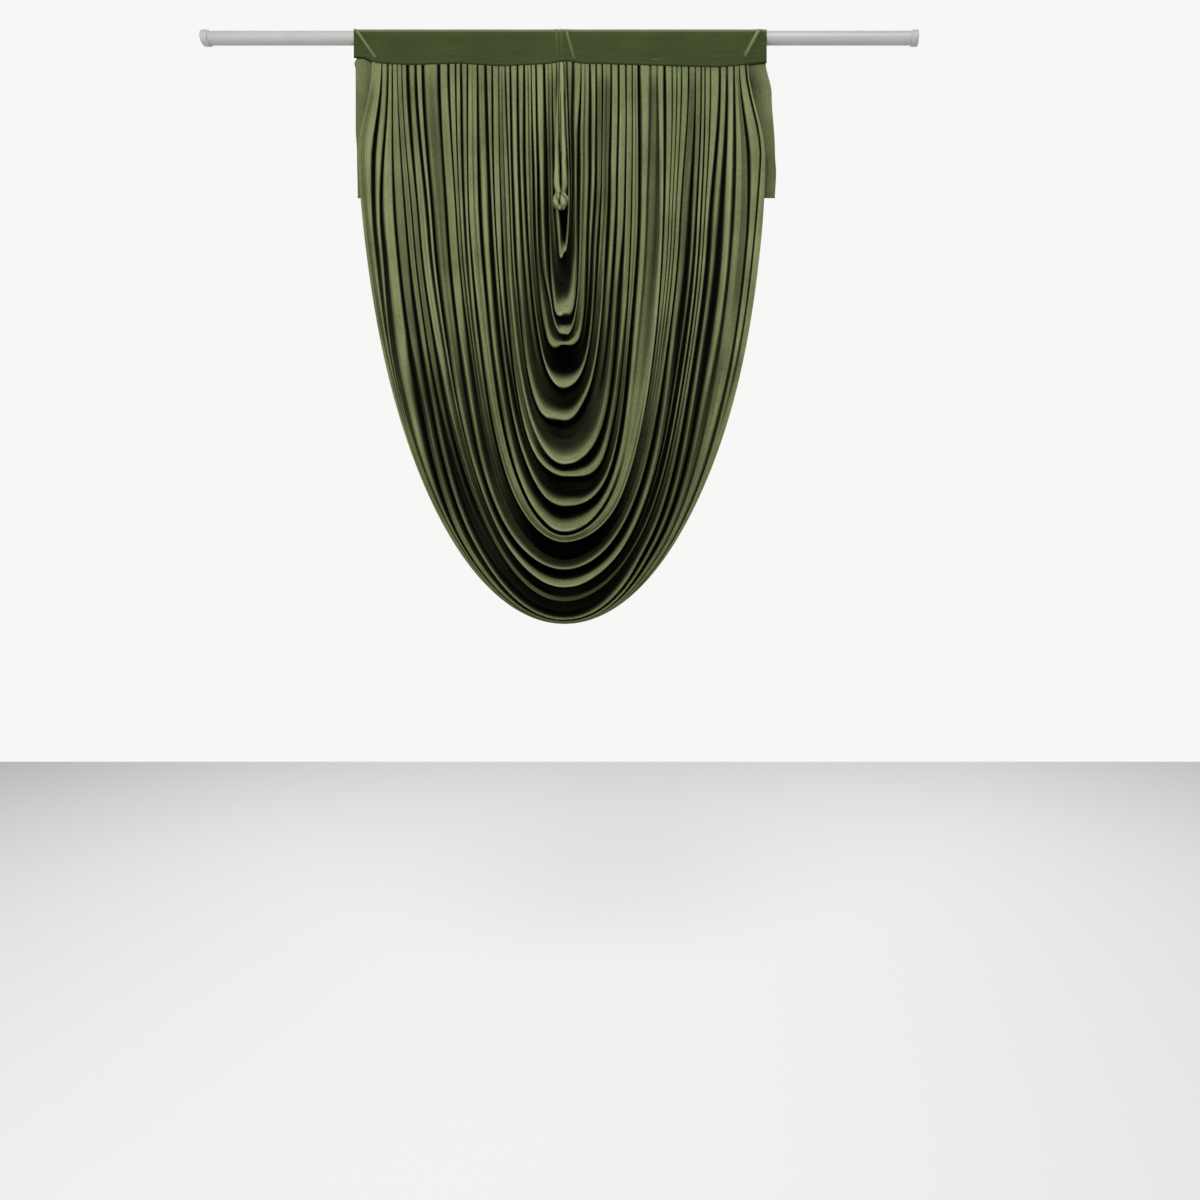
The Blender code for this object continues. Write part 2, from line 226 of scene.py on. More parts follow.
def knit_material(name, light, dark, shadow, edge, roughness, sheen):
    """Warp-knit polyester: matt, with a soft sheen at grazing angles, fine ribs and a faint mottle.

    painted_shade_and_highlight above 0 paints shade into the cloth's colour down in folds, mixing towards
    shadow, and below 0 paints a highlight onto it, mixing towards edge, the painted highlight colour.
    """
    made, shader = new_material(
        name,
        roughness,
        IOR=1.46,
        Specular_IOR_Level=0.12,
        Sheen_Weight=sheen,
        Sheen_Roughness=0.42,
        Sheen_Tint=srgb("#B9C795"),
    )
    where = add_node(made, "ShaderNodeTexCoord")
    # Ribs 0.5 mm apart are too fine to show, so the streaks that they gather into are drawn, 3 mm apart.
    along_ribs = add_node(
        made, "ShaderNodeMapping", {"Vector": where.outputs["UV"], "Scale": (1 / 0.003, 1 / 0.16, 1.0)}
    )
    ribs = add_node(
        made, "ShaderNodeTexNoise", {"Vector": along_ribs.outputs["Vector"], "Scale": 1.0, "Detail": 3.0}
    )
    loops = add_node(
        made,
        "ShaderNodeTexNoise",
        {"Vector": where.outputs["Object"], "Scale": 1 / 0.006, "Detail": 4.0, "Roughness": 0.7},
    )
    patches = add_node(
        made,
        "ShaderNodeTexNoise",
        {"Vector": where.outputs["Object"], "Scale": 1 / 0.12, "Detail": 2.0},
    )
    mottle = add_node(
        made,
        "ShaderNodeMath",
        {0: loops.outputs["Fac"], 1: ribs.outputs["Fac"]},
        operation="ADD",
    )
    mottle_all = add_node(
        made, "ShaderNodeMath", {0: mottle.outputs[0], 1: patches.outputs["Fac"]}, operation="ADD"
    )
    spread = add_node(
        made,
        "ShaderNodeMapRange",
        {"Value": mottle_all.outputs[0], "From Min": 1.15, "From Max": 1.85},
    )
    knit_tone = add_node(
        made,
        "ShaderNodeMix",
        {"Factor": spread.outputs["Result"], "A": srgb(dark), "B": srgb(light)},
        data_type="RGBA",
    )
    # Painted shade and painted highlight: above 0 mixes towards the shadow colour, below 0 towards edge.
    painted_light_attribute = add_node(made, "ShaderNodeAttribute", attribute_name="painted_shade_and_highlight")
    tone = add_node(
        made,
        "ShaderNodeMix",
        {"Factor": painted_light_attribute.outputs["Fac"], "A": knit_tone.outputs["Result"], "B": srgb(shadow)},
        data_type="RGBA",
    )
    painted_highlight_share = add_node(
        made,
        "ShaderNodeMath",
        {0: painted_light_attribute.outputs["Fac"], 1: -1.0},
        operation="MULTIPLY",
        use_clamp=True,
    )
    painted_highlight_tone = add_node(
        made,
        "ShaderNodeMix",
        {"Factor": painted_highlight_share.outputs[0], "A": tone.outputs["Result"], "B": srgb(edge)},
        data_type="RGBA",
    )
    made.node_tree.links.new(painted_highlight_tone.outputs["Result"], shader.inputs["Base Color"])
    fine = add_node(
        made, "ShaderNodeBump", {"Height": loops.outputs["Fac"], "Strength": 0.35, "Distance": 0.0006}
    )
    ribbed = add_node(
        made,
        "ShaderNodeBump",
        {
            "Height": ribs.outputs["Fac"],
            "Strength": 0.35,
            "Distance": 0.0012,
            "Normal": fine.outputs["Normal"],
        },
    )
    made.node_tree.links.new(ribbed.outputs["Normal"], shader.inputs["Normal"])
    return made


# The band is the same knit as the swag, but its colours are set far darker: painted shade for its face, which
# tilts down away from the light. shadow is the painted shade colour, edge the painted highlight.
heading_knit_painted_darker = knit_material(
    "heading_warp_knit_olive_painted_darker",
    light="#434D29",
    dark="#36401F",
    shadow="#0A0E06",
    edge="#98A474",
    roughness=0.74,
    sheen=0.06,
)


def seam_height(x):
    """Height of the seam under the band at x."""
    return between(SEAM, x)


def heading_x(i):
    """Where column i of the band lies along the rod."""
    return HEADING_LEFT + (HEADING_RIGHT - HEADING_LEFT) * i / HEADING_COLUMNS


def heading_place(i, j):
    """A corner of the band. The rows go from the seam up the front, over the rod and down the back."""
    x = heading_x(i)
    drop = -seam_height(x)
    round_part = ROD_RADIUS + HEADING_TIGHT + KNIT_THICKNESS / 2
    tangent = math.acos(round_part / drop)
    # Rows are evenly spaced along the cloth: flat up from the foot, then round the rod, then flat again.
    flat_part = round_part * math.tan(tangent)
    girth = 2.0 * (flat_part + round_part * (math.pi - tangent))
    walked = girth * min(j, HEADING_ROUND - j) / HEADING_ROUND
    from_foot = tangent - math.atan((flat_part - walked) / round_part)
    reach = round_part / math.cos(tangent - from_foot)
    if walked > flat_part:
        from_foot = tangent + (walked - flat_part) / round_part
        reach = round_part
    turn = from_foot if j <= HEADING_ROUND / 2 else 2.0 * math.pi - from_foot
    y, z = -reach * math.sin(turn), -reach * math.cos(turn)
    if turn < math.pi:
        for crease in CREASES:
            away, share = distance_to_line(x, z, crease)
            y -= crease[4] * math.exp(-((away / crease[5]) ** 2)) * (1.0 - 0.6 * share)
        y -= WAVE_HEIGHT * noise.noise(Vector((x * 22, z * 10, 3.1)))
        y -= STITCH_RIDGE * math.exp(-(((z + drop - STITCH_ABOVE) / STITCH_WIDTH) ** 2))
    return (true_place(x, y, z)[0], y, z)


def heading_painted_light(i, j):
    """Painted shade in the stitched foot, and painted highlights along the top edge and on the creases."""
    x, y, z = heading_place(i, j)
    foot = 0.9 * (1.0 - smooth(min(j, HEADING_ROUND - j) / FOOT_ROWS))
    top = 0.55 * math.exp(-(((z - TOP_HIGHLIGHT[0]) / TOP_HIGHLIGHT[1]) ** 2)) if y < 0 else 0.0
    folds = 0.0
    for crease in CREASES if y < 0 else ():
        away, share = distance_to_line(heading_x(i), z, crease)
        ridge = math.exp(-((away / (0.55 * crease[5])) ** 2)) * (1.0 - 0.5 * share)
        folds = max(folds, crease[4] / HIGHEST_CREASE * ridge)
    return foot - max(top, 0.75 * folds)


heading_bm = cloth_grid(
    HEADING_COLUMNS,
    HEADING_ROUND,
    heading_place,
    lambda i, j: (j * FLAT_STEP_ROUND, i * FLAT_STEP_ALONG),
    heading_painted_light,
)
bmesh.ops.remove_doubles(heading_bm, verts=heading_bm.verts, dist=1e-6)
bmesh.ops.recalc_face_normals(heading_bm, faces=heading_bm.faces)
heading = finished("heading_band", heading_bm, heading_knit_painted_darker)
heading_wall = heading.modifiers.new("cloth", "SOLIDIFY")
heading_wall.thickness = KNIT_THICKNESS
heading_wall.offset = 0.0
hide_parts("heading")


# The swag is one piece of stretch knit, cut as a wide trapezoid. Its top is gathered into the heading's seam,
# and each fold hangs as a U from the left gathers to the right ones. At the bottom each fold rolls over the
# next as a lip, with a deep pocket above it.
U_TOP = -0.065
CENTRE_SHIFT = 0.010
# The gathers are sewn up into the heading's foot by this much, pressed to this share of their depth.
SEWN_IN = 0.0020
PRESSED = 0.35
# How far the plain U of each lane hangs below the seam, in mm: (lane, drop).
DROPS = (
    (0, 340),
    (15, 475),
    (46, 685),
    (88, 810),
    (118, 893),
    (155, 1015),
    (183, 1108),
    (214, 1178),
    (258, 1230),
    (288, 1263),
    (319, 1308),
    (361, 1348),
    (402, 1383),
    (464, 1395),
    (515, 1400),
)
# A U of this lane, in metres, has sides this square: (lane, squareness). 2 is an ellipse.
SQUARENESS = ((0.0, 3.4), (0.1, 3.0), (0.515, 2.15))
# Places along a U, as shares, where the lanes and the depths below are given.
STATIONS = (0.0, 0.1, 0.2, 0.35, 0.5, 0.65, 0.8, 0.9, 1.0)
DEPTH_STATIONS = (0.05, 0.28, 0.5, 0.72, 0.95)
# One row for each fold, from the rolled inner edge out to the hem: the lane in mm of the groove at the fold's
# outer side at the nine stations, from the left gathers round to the right ones; that groove's depth as a
# share at the left top, left side, bottom, right side and right top; and how far the fold comes forward as a
# lip.
FOLDS = (
    ((10, 10, 10, 8, 10, 8, 9, 8, 7), (0.7, 0.7, 1.0, 0.7, 0.7), 0.0),
    ((21, 24, 26, 24, 15, 17, 18, 16, 15), (1.0, 1.0, 0.8, 1.0, 1.0), 1.0),
    ((31, 33, 35, 33, 26, 23, 24, 24, 31), (0.2, 0.2, 0.3, 0.9, 0.9), 0.05),
    ((40, 40, 42, 46, 38, 46, 40, 42, 52), (1.0, 1.0, 0.7, 1.0, 1.0), 1.0),
    ((62, 63, 67, 54, 45, 52, 52, 55, 61), (1.0, 1.0, 0.7, 0.2, 0.2), 1.0),
    ((74, 75, 79, 78, 52, 72, 66, 70, 73), (1.0, 1.0, 1.0, 1.0, 1.0), 1.0),
    ((81, 83, 87, 88, 70, 89, 80, 86, 89), (0.2, 0.2, 0.0, 1.0, 1.0), 0.0),
    ((90, 96, 96, 96, 89, 98, 94, 100, 105), (1.0, 1.0, 1.0, 1.0, 1.0), 1.0),
    ((107, 109, 111, 115, 101, 109, 105, 110, 115), (1.0, 0.8, 0.0, 0.2, 0.2), 0.1),
    ((126, 128, 131, 136, 118, 121, 116, 119, 126), (1.0, 1.0, 1.0, 1.0, 1.0), 1.0),
    ((139, 135, 138, 143, 134, 141, 136, 139, 145), (0.7, 0.3, 0.0, 1.0, 1.0), 0.2),
    ((147, 147, 151, 154, 151, 164, 155, 160, 164), (0.2, 0.2, 0.9, 1.0, 1.0), 1.0),
    ((154, 157, 159, 168, 160, 184, 178, 177, 180), (1.0, 1.0, 1.0, 1.0, 1.0), 1.0),
    ((171, 174, 173, 174, 171, 194, 184, 187, 187), (1.0, 1.0, 0.0, 0.1, 0.1), 0.1),
    ((187, 183, 183, 186, 183, 205, 190, 195, 193), (1.0, 1.0, 1.0, 1.0, 1.0), 1.0),
    ((208, 211, 208, 211, 211, 228, 213, 217, 226), (1.0, 1.0, 1.0, 0.15, 0.6), 1.0),
    ((221, 224, 222, 226, 219, 246, 238, 243, 241), (0.1, 0.1, 0.2, 0.1, 0.5), 0.9),
    ((232, 239, 236, 243, 229, 262, 260, 260, 260), (1.0, 1.0, 1.0, 1.0, 1.0), 1.0),
    ((249, 250, 251, 256, 248, 270, 268, 273, 280), (1.0, 0.2, 0.0, 0.1, 0.6), 0.0),
    ((262, 262, 259, 268, 262, 279, 275, 281, 291), (1.0, 0.2, 0.0, 0.1, 0.5), 0.0),
    ((280, 270, 266, 282, 276, 288, 283, 289, 302), (1.0, 0.9, 0.0, 0.1, 0.6), 0.2),
    ((303, 295, 294, 303, 289, 301, 294, 301, 321), (1.0, 1.0, 1.0, 1.0, 1.0), 1.0),
    ((346, 332, 325, 324, 320, 332, 320, 327, 337), (1.0, 1.0, 1.0, 1.0, 1.0), 1.0),
    ((362, 342, 333, 333, 334, 351, 337, 343, 352), (1.0, 0.4, 0.3, 1.0, 1.0), 0.1),
    ((383, 368, 358, 352, 357, 362, 351, 355, 361), (1.0, 1.0, 0.6, 1.0, 1.0), 0.55),
    ((397, 383, 380, 389, 384, 377, 360, 364, 375), (1.0, 1.0, 1.0, 0.8, 1.0), 0.1),
    ((408, 400, 399, 418, 436, 393, 371, 377, 399), (1.0, 1.0, 0.4, 1.0, 1.0), 1.0),
    ((421, 428, 431, 471, 476, 426, 400, 406, 416), (1.0, 1.0, 0.4, 1.0, 1.0), 0.9),
    ((431, 467, 490, 494, 492, 466, 438, 438, 436), (1.0, 0.6, 0.2, 0.6, 0.9), 0.9),
    ((462, 485, 498, 501, 498, 482, 461, 459, 449), (1.0, 0.0, 0.0, 0.0, 0.0), 0.9),
    ((496, 500, 505, 507, 503, 497, 484, 480, 462), (0.0, 0.1, 0.2, 0.6, 1.0), 0.9),
    ((505, 508, 511, 512, 508, 507, 503, 500, 508), (0.0, 0.0, 0.0, 0.0, 1.0), 0.9),
    ((514, 516, 518, 517, 513, 516, 521, 519, 512), (0.0, 0.0, 0.0, 0.0, 0.0), 0.85),
)
INNER_EDGE = (1.7, 1.7, 1.7, 1.2, 0.0, 1.2, 1.7, 1.7, 1.7)
# Places across one fold, from its inner groove to its outer one, closer together at the grooves and the lip.
ACROSS = (0.0, 0.04, 0.09, 0.16, 0.26, 0.38, 0.50, 0.61, 0.72, 0.82, 0.90, 0.95)
ROWS = 124
# How far forward the folds' crests stand, and how deep their grooves and pockets are.
CREST_AT_SEAM = 0.005
CREST_AT_SIDE = 0.022
CREST_AT_LIP = 0.064
DEPTH_AT_SEAM = 0.30
DEPTH_AT_SIDE = 0.036
DEPTH_AT_BOTTOM = 0.088
# A groove is no deeper than this many times its fold's width.
MOST_DEPTH = 3.0
# The share of a fold's width that its groove takes at the seam and at the bottom.
GROOVE_AT_SEAM = 0.20
GROOVE_AT_BOTTOM = 0.46
# A fold's roundness as a share of its width, complete where its groove is at least FULL_CROWN deep.
CROWN = 0.14
FULL_CROWN = 0.001
# Where across a fold its cloth comes out of the pocket, reaches the front and turns over the lip.
RISE_FROM, RISE_TO, LIP_PLACE = 0.26, 0.68, 0.93
POCKET_FROM = 0.45
TILT = 0.45
# How uneven the grooves' widths are, and how strong the painted shade on some folds and the painted
# highlights on the folds' edges and lips are.
GAPE = 1.5
SHADE = 0.55
EDGE_LIGHT = 0.42
LIP_LIGHT = 0.60
# How far some folds sit back, and how much their edges, lips and surface waver.
SETBACK = 0.007
GROOVE_WOBBLE = 0.0008
LIP_WAVER = 0.10
RIPPLE, FINE_RIPPLE = 0.0014, 0.0007
PUCKER, PUCKERS_PER_METRE, PUCKER_LENGTH = 0.0012, 1150.0, 0.030
# The gathers open out over this length, and the press of the seam ends after PRESSED_LENGTH.
GATHER_LENGTH = 0.060
PRESSED_LENGTH = 0.012
# The outer folds spring outwards below the seam.
FLARE = 0.043
FLARE_FROM = 0.425
FLARE_LENGTH = 0.24
EDGE_LANE = 0.515
WALL_THICKNESS = 0.0022


def lane_at(lanes, along):
    """The lane of one groove at this place along its U, in metres."""
    return between(tuple(zip(STATIONS, lanes)), along, eased=True) / 1000.0


def down_at(along):
    """The share of its drop that a U has fallen at this place along it."""
    return 1.0 - abs(2.0 * along - 1.0) ** 1.7


def u_point(lane, along):
    """(x, z) on the U of this lane."""
    down = down_at(along)
    drop = between(DROPS, lane * 1000.0) / 1000.0
    squareness = between(SQUARENESS, lane)
    reach = lane * math.sqrt(max(1.0 - down**squareness, 0.0))
    x = CENTRE_SHIFT * math.sin(down * math.pi / 2) + math.copysign(reach, along - 0.5)
    return x, U_TOP - drop * down


def fold_profile(u, width, groove_in, groove_out, groove_share):
    """(how far back, painted shade) of a hanging fold at u, between two grooves of these depths."""
    into = smooth(1.0 - u / groove_share)
    out_of = smooth(1.0 - (1.0 - u) / groove_share)
    nearest_groove = groove_in if u < 0.5 else groove_out
    crown = CROWN * width * abs(2.0 * u - 1.0) ** 3.0 * min(1.0, nearest_groove / FULL_CROWN)
    return groove_in * into + groove_out * out_of + crown, smooth(max(into, out_of) * 2.7)


def lip_profile(u):
    """How far back a fold lies at the bottom, as a share: out of its pocket, over the lip, back under it."""
    if u < LIP_PLACE:
        return 1.0 - smooth((u - RISE_FROM) / (RISE_TO - RISE_FROM))
    return smooth((u - LIP_PLACE) / (1.0 - LIP_PLACE))


swag_rows = []
for j in range(ROWS + 1):
    along = j / ROWS
    down = down_at(along)
    pocket = smooth((down - POCKET_FROM) / (1.0 - POCKET_FROM))
    grooves = [lane_at(INNER_EDGE, along)] + [lane_at(fold[0], along) for fold in FOLDS]
    wobble = GROOVE_WOBBLE * (1.0 - pocket)
    for k in range(2, len(grooves) - 1):
        room = min(grooves[k] - grooves[k - 1], grooves[k + 1] - grooves[k])
        grooves[k] += min(wobble, room * 0.2) * noise.noise(Vector((along * 14, k * 2.7, 0.0)))
    shares = [0.0] + [between(tuple(zip(DEPTH_STATIONS, fold[1])), along, eased=True) for fold in FOLDS]
    points = [u_point(lane, along) for lane in grooves]
    row = []
    for k, fold in enumerate(FOLDS):
        width = max(math.dist(points[k], points[k + 1]), 0.0005)
        lip = fold[2]
        next_lip = FOLDS[k + 1][2] if k + 1 < len(FOLDS) else lip
        last_lip = FOLDS[k - 1][2] if k else lip
        for u in ACROSS if k < len(FOLDS) - 1 else (*ACROSS, 1.0):
            lane = grooves[k] + (grooves[k + 1] - grooves[k]) * u
            x, z = u_point(lane, along)
            under_seam = U_TOP - z
            gather = smooth(under_seam / GATHER_LENGTH)
            flare = FLARE * smooth((lane - FLARE_FROM) / (EDGE_LANE - FLARE_FROM))
            x -= math.copysign(flare * (1.0 - smooth(under_seam / FLARE_LENGTH)), x)
            z += (seam_height(x) + SEWN_IN - U_TOP) * (1.0 - gather)
            side_depth = DEPTH_AT_SIDE * (DEPTH_AT_SEAM + (1.0 - DEPTH_AT_SEAM) * gather)
            deep = [min(side_depth * shares[k + side], MOST_DEPTH * width) for side in (0, 1)]
            groove_share = GROOVE_AT_SEAM + (GROOVE_AT_BOTTOM - GROOVE_AT_SEAM) * down
            groove_side = k if u < 0.5 else k + 1
            gape = noise.noise(Vector((groove_side * 3.9, along * 5.0, 6.0)))
            groove_share *= min(max(1.0 + GAPE * gape, 0.5), 2.2)
            side_back, side_dark = fold_profile(u, width, *deep, groove_share)
            side_dark *= shares[k] if u < 0.5 else shares[k + 1]
            hidden = 1.0 - lip
            room = smooth((width - 0.010) / 0.014)
            waver = LIP_WAVER * noise.noise(Vector((k * 2.1, along * 11.0, 2.0))) * u * room
            into = lip_profile(min(max(u + waver, 0.0), 1.0))
            edge_share = shares[k] if u < 0.5 else shares[k + 1]
            neighbour = (1.0 - last_lip) if u < 0.5 else (1.0 - next_lip)
            shut = max(edge_share, neighbour, hidden)
            low_share = max(into * shut, hidden)
            low_depth = min(DEPTH_AT_BOTTOM, MOST_DEPTH * 1.2 * width + 0.01 + hidden * DEPTH_AT_BOTTOM)
            low_back = low_depth * low_share
            crest = CREST_AT_SEAM + (CREST_AT_SIDE - CREST_AT_SEAM) * gather
            crest += (CREST_AT_LIP - crest) * pocket
            back = side_back + (low_back - side_back) * pocket
            # Painted shade on some folds, for folds that lie back in shadow, and painted highlights along the
            # folds' edges beside their grooves.
            shaded = SHADE * smooth(noise.noise(Vector((k * 7.7, along * 2.6, 1.0))) * 2.2)
            edge_highlight = EDGE_LIGHT * math.exp(-(((abs(2.0 * u - 1.0) - 1.0 + 3.0 * groove_share) / 0.16) ** 2))
            edge_highlight *= (0.5 + noise.noise(Vector((k * 4.1, along * 4.0, 3.0)))) * edge_share * gather
            side_dark = max(side_dark, shaded * gather) - edge_highlight
            # A painted highlight along each lip, and painted shade in the pockets between the lips.
            lip_highlight = LIP_LIGHT * lip * room * math.exp(-(((u + waver - LIP_PLACE + 0.04) / 0.045) ** 2))
            dark = side_dark + (low_share**0.7 - lip_highlight - side_dark) * pocket
            tilt = TILT * noise.noise(Vector((k * 5.7, along * 3.0, 4.0))) * min(width, 0.02)
            setback = SETBACK * (0.5 + noise.noise(Vector((k * 3.3, along * 2.5, 9.0))))
            back += (tilt * (2.0 * u - 1.0) + setback) * gather
            ripple = RIPPLE * noise.noise(Vector((x * 26 + z * 5, z * 7, k * 1.3)))
            ripple += FINE_RIPPLE * noise.noise(Vector((x * 70 + z * 24, z * 22, 8.0)))
            phase = 3.0 * noise.noise(Vector((lane * 40, 0, 0)))
            pucker = PUCKER * math.sin(lane * PUCKERS_PER_METRE + phase)
            pucker *= 1.0 - smooth(under_seam / PUCKER_LENGTH)
            pressed = PRESSED + (1.0 - PRESSED) * smooth(under_seam / PRESSED_LENGTH)
            y = (back - crest + ripple * gather + pucker) * pressed
            row.append((true_place(x, y, z), dark))
    swag_rows.append(row)
COLUMNS = len(swag_rows[0]) - 1

# The ribs run down the cloth, so the flat width is measured along one row and the flat height is the same
# all over.
FLAT_DOWN = 2.6
cloth_across = [0.0]
middle_row = swag_rows[ROWS // 4]
for i in range(COLUMNS):
    cloth_across.append(cloth_across[-1] + math.dist(middle_row[i][0], middle_row[i + 1][0]))
swag_bm = cloth_grid(
    COLUMNS,
    ROWS,
    lambda i, j: swag_rows[j][i][0],
    lambda i, j: (cloth_across[i], j * FLAT_DOWN / ROWS),
    lambda i, j: swag_rows[j][i][1],
)
bmesh.ops.recalc_face_normals(swag_bm, faces=swag_bm.faces)
if swag_bm.faces[0].normal.y > 0:
    bmesh.ops.reverse_faces(swag_bm, faces=swag_bm.faces)
# The back of the cloth takes this share of the front's shading.
BACK_SHADING = 0.15
swag_back = bmesh.ops.extrude_face_region(swag_bm, geom=swag_bm.faces[:], use_keep_orig=True)
painted_light_layer = swag_bm.verts.layers.float["painted_shade_and_highlight"]
for vertex in swag_back["geom"]:
    if isinstance(vertex, bmesh.types.BMVert):
        # The back lies away from the eye, so that it never meets the front in a steep fold.
        away = vertex.co - Vector(EYE)
        vertex.co += away * (WALL_THICKNESS / away.y)
        vertex[painted_light_layer] *= BACK_SHADING
bmesh.ops.recalc_face_normals(swag_bm, faces=swag_bm.faces)
# shadow is the painted shade colour in grooves and pockets, and edge the painted highlight colour.
gathered_knit = knit_material(
    "gathered_warp_knit_olive",
    light="#858D62",
    dark="#5E6741",
    shadow="#020401",
    edge="#A8B285",
    roughness=0.84,
    sheen=0.03,
)
swag = finished("gathered_swag", swag_bm, gathered_knit)
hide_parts("swag")


# The swag's inner edge is left to roll. It hangs from the seam as two thin twisted strands, which meet in a
# small bunched ball where the edge turns back up.
STRAND_AROUND, STRAND_ROWS = 28, 110
# (z, x of the left strand, x of the right strand, radius)
STRANDS = (
    (-0.060, -0.0010, 0.0060, 0.0042),
    (-0.100, -0.0020, 0.0062, 0.0045),
    (-0.160, -0.0050, 0.0048, 0.0040),
    (-0.220, -0.0062, 0.0056, 0.0050),
    (-0.300, -0.0085, 0.0085, 0.0075),
    (-0.360, -0.0095, 0.0100, 0.0085),
    (-0.395, -0.0050, 0.0060, 0.0070),
)
STRAND_Y = -0.0270
STRAND_TWIST = 11.0
BALL_CENTRE = (0.0005, -0.031, -0.4065)
BALL_RADIUS = 0.0200


def strand_place(column, side, i, j):
    """A corner of a strand, whose wound edge runs round it as it goes down."""
    z = STRANDS[0][0] + (STRANDS[-1][0] - STRANDS[0][0]) * j / STRAND_ROWS
    turn = 2.0 * math.pi * i / STRAND_AROUND
    radius = -between([(-row[0], -row[3]) for row in STRANDS], -z, eased=True)
    centre = between([(-row[0], row[column]) for row in STRANDS], -z, eased=True)
    wound = 1.0 + 0.26 * math.cos(2.0 * turn + side * STRAND_TWIST * z)
    wound += 0.10 * noise.noise(Vector((turn * 1.5, z * 60, side)))
    depth = 0.006 * smooth((z + 0.10) / 0.04)
    y = STRAND_Y + depth - radius * wound * math.sin(turn)
    return true_place(centre + radius * wound * math.cos(turn), y, z)


def strand_painted_light(side, i, j):
    """Painted shade in the groove that winds round a strand, and painted highlights along its ridges."""
    wound = 0.5 - 0.5 * math.cos(4.0 * math.pi * i / STRAND_AROUND + side * 1.1 + j * 0.035)
    return 1.3 * wound**3 - 0.45


for name, column, side in (("strand_left", 1, -1.0), ("strand_right", 2, 1.0)):
    strand_bm = cloth_grid(
        STRAND_AROUND,
        STRAND_ROWS,
        lambda i, j: strand_place(column, side, i, j),
        lambda i, j: (i * 0.0015, j * 0.003),
        lambda i, j: strand_painted_light(side, i, j),
    )
    bmesh.ops.remove_doubles(strand_bm, verts=strand_bm.verts, dist=1e-6)
    bmesh.ops.holes_fill(strand_bm, edges=strand_bm.edges, sides=STRAND_AROUND)
    bmesh.ops.recalc_face_normals(strand_bm, faces=strand_bm.faces)
    finished(name, strand_bm, gathered_knit)

ball_bm = bmesh.new()
ball_painted_light = ball_bm.verts.layers.float.new("painted_shade_and_highlight")
ball_bm.loops.layers.uv.new("cloth")
bmesh.ops.create_uvsphere(ball_bm, u_segments=64, v_segments=40, radius=1.0, calc_uvs=True)
for vertex in ball_bm.verts:
    way = vertex.co.normalized()
    swirl = math.sin(5.0 * math.atan2(way.x, -way.y) + 4.0 * way.z)
    slit = math.exp(-(((way.x + 0.18 - 0.15 * way.z) / 0.13) ** 2))
    slit *= smooth(-way.y * 2.0) * smooth((way.z + 0.75) * 3)
    lump = 1.0 + 0.05 * swirl - 0.34 * slit + 0.10 * noise.noise(way * 2.6)
    # Painted shade in the slit, in the swirls' hollows and over the far side; a painted highlight elsewhere.
    vertex[ball_painted_light] = min(1.4 * slit + 0.7 * smooth(-swirl) + 0.8 * smooth(way.y + 0.75) - 0.5, 1.0)
    scaled = Vector((way.x, way.y * 0.9, way.z * 1.18)) * (BALL_RADIUS * lump)
    vertex.co = true_place(*(Vector(BALL_CENTRE) + scaled))
bmesh.ops.recalc_face_normals(ball_bm, faces=ball_bm.faces)
ball = finished("rolled_ball", ball_bm, gathered_knit)


# The tails are two short flat pieces, cut square at the foot and sewn into the ends of the same seam behind
# the swag's outer folds. Only a narrow strip of each shows.
TAIL_WIDTH = 0.105
TAIL_DROP = 0.35
TAIL_BOTTOM = -0.400
TAIL_COLUMNS, TAIL_ROWS = 60, 100
# The outer edge of each tail, from its foot up: (z, x).
TAIL_EDGES = {
    "tail_left": (
        (-0.400, -0.507),
        (-0.28, -0.509),
        (-0.23, -0.512),
        (-0.08, -0.512),
        (-0.063, -0.515),
        (-0.05, -0.509),
    ),
    "tail_right": (
        (-0.400, 0.536),
        (-0.34, 0.539),
        (-0.28, 0.536),
        (-0.14, 0.528),
        (-0.06, 0.513),
    ),
}


def tail_place(side, i, j):
    """A corner of a tail: its outer edge is at column 0 and its top at row 0."""
    share = i / TAIL_COLUMNS
    across = TAIL_WIDTH * share
    top = seam_height(side * (HEADING_RIGHT - across)) + SEWN_IN
    z = top + (TAIL_BOTTOM - top) * j / TAIL_ROWS
    edge = TAIL_EDGES["tail_left" if side < 0 else "tail_right"]
    hang = smooth((top - z) / 0.08)
    y = 0.001 + 0.003 * smooth((top - z) / 0.012) + 0.026 * hang * smooth(share * 2.0)
    y += 0.0045 * math.sin(share * 3.0 * math.pi + 1.2 + 1.6 * z) * hang
    y += 0.0012 * noise.noise(Vector((across * 60 + z * 30, z * 18, side)))
    return true_place(between(edge, z, eased=True) - side * across, y, z)


for name, side in (("tail_left", -1.0), ("tail_right", 1.0)):
    tail_bm = cloth_grid(
        TAIL_COLUMNS,
        TAIL_ROWS,
        lambda i, j: tail_place(side, i, j),
        lambda i, j: (i * TAIL_WIDTH / TAIL_COLUMNS, j * TAIL_DROP / TAIL_ROWS),
        # Painted shade over each tail, least at its outer edge and deeper where it runs in behind the swag.
        lambda i, j: 0.14 + 0.45 * smooth(i / TAIL_COLUMNS * 1.8),
    )
    bmesh.ops.recalc_face_normals(tail_bm, faces=tail_bm.faces)
    tail = finished(name + "_cloth", tail_bm, gathered_knit)
    tail_wall = tail.modifiers.new("cloth", "SOLIDIFY")
    tail_wall.thickness = KNIT_THICKNESS
    tail_wall.offset = 0.0
    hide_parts(name)


